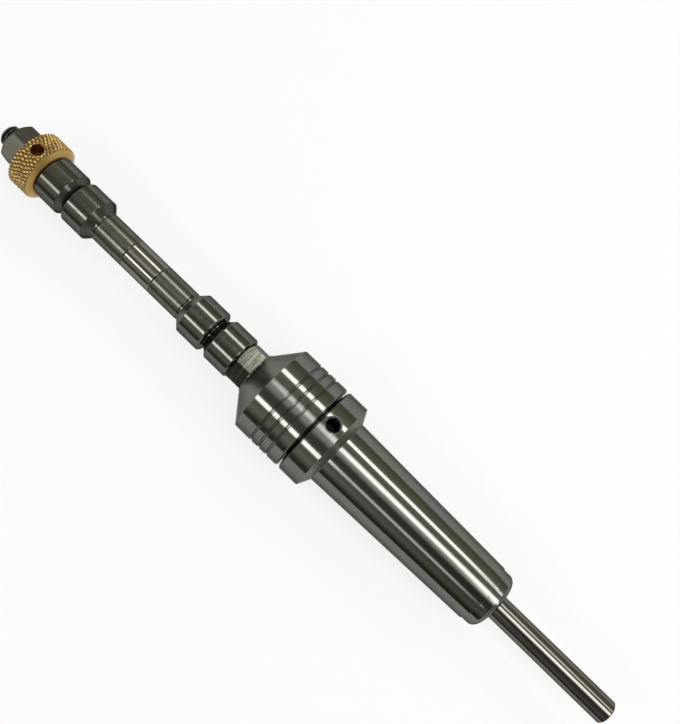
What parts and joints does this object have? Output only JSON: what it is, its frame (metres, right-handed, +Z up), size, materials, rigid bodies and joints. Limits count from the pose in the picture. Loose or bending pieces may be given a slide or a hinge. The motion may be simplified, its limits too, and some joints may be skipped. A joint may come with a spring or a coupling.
{
  "type": "pen mandrel",
  "caption": "Lathe mandrel for pen blanks: Morse taper shank with a collet closer, a slim shaft with turning bushes and sleeves, a knurled nut and a lock nut.",
  "frame": {"origin": "on the axis of the taper, at its gauge plane, where the taper is 17.780 mm across", "axes": "+X along the axis from the shank to the nut end, +Z up as the mandrel lies on a bench"},
  "size_m": [0.202, 0.0248, 0.0249],
  "materials": {
    "ground_steel": "ground bright",
    "turned_steel": "fine turned",
    "spring_steel": "hardened and ground",
    "shaft_steel": "drawn and polished",
    "bush_steel": "turned, dull",
    "sleeve_steel": "turned, dull",
    "brass": "turned and knurled",
    "nut_steel": "satin"
  },
  "bodies": {
    "arbor": {"taper_arbor": "ground_steel"},
    "collet": {"collet": "spring_steel"},
    "closer": {"collet_closer": "turned_steel"},
    "shaft": {"mandrel_shaft": "shaft_steel", "bush_2": "bush_steel", "bush_3": "bush_steel", "bush_4": "bush_steel", "sleeve_rear": "sleeve_steel", "sleeve_middle": "sleeve_steel", "sleeve_front": "sleeve_steel"},
    "end_bush": {"bush_1": "bush_steel"},
    "knurled_nut": {"knurled_nut": "brass"},
    "lock_nut": {"lock_nut": "nut_steel"}
  },
  "joints": [
    {"name": "collet_draw", "type": "slide", "parent": "arbor", "child": "collet", "axis": [1, 0, 0], "range_m": [0, 0.006]},
    {"name": "closer_turn", "type": "hinge", "parent": "collet", "child": "closer", "pos_m": [0.02, 0, 0], "axis": [1, 0, 0], "range_deg": [0, 1440.5]},
    {"name": "shaft_slide", "type": "slide", "parent": "collet", "child": "shaft", "axis": [1, 0, 0], "range_m": [0, 0.085]},
    {"name": "end_bush_slide", "type": "slide", "parent": "shaft", "child": "end_bush", "axis": [1, 0, 0], "range_m": [0, 0.005]},
    {"name": "nut_turn", "type": "hinge", "parent": "end_bush", "child": "knurled_nut", "pos_m": [0.1075, 0, 0], "axis": [1, 0, 0], "range_deg": [0, 1800.5]},
    {"name": "lock_nut_turn", "type": "hinge", "parent": "end_bush", "child": "lock_nut", "pos_m": [0.11385, 0, 0], "axis": [1, 0, 0], "range_deg": [0, 1800.5]}
  ],
  "couplings": [
    {"joint": "closer_turn", "follows": "collet_draw", "rad_per_m": 4188.8},
    {"joint": "nut_turn", "follows": "end_bush_slide", "rad_per_m": 6283.2},
    {"joint": "lock_nut_turn", "follows": "end_bush_slide", "rad_per_m": 6283.2}
  ]
}
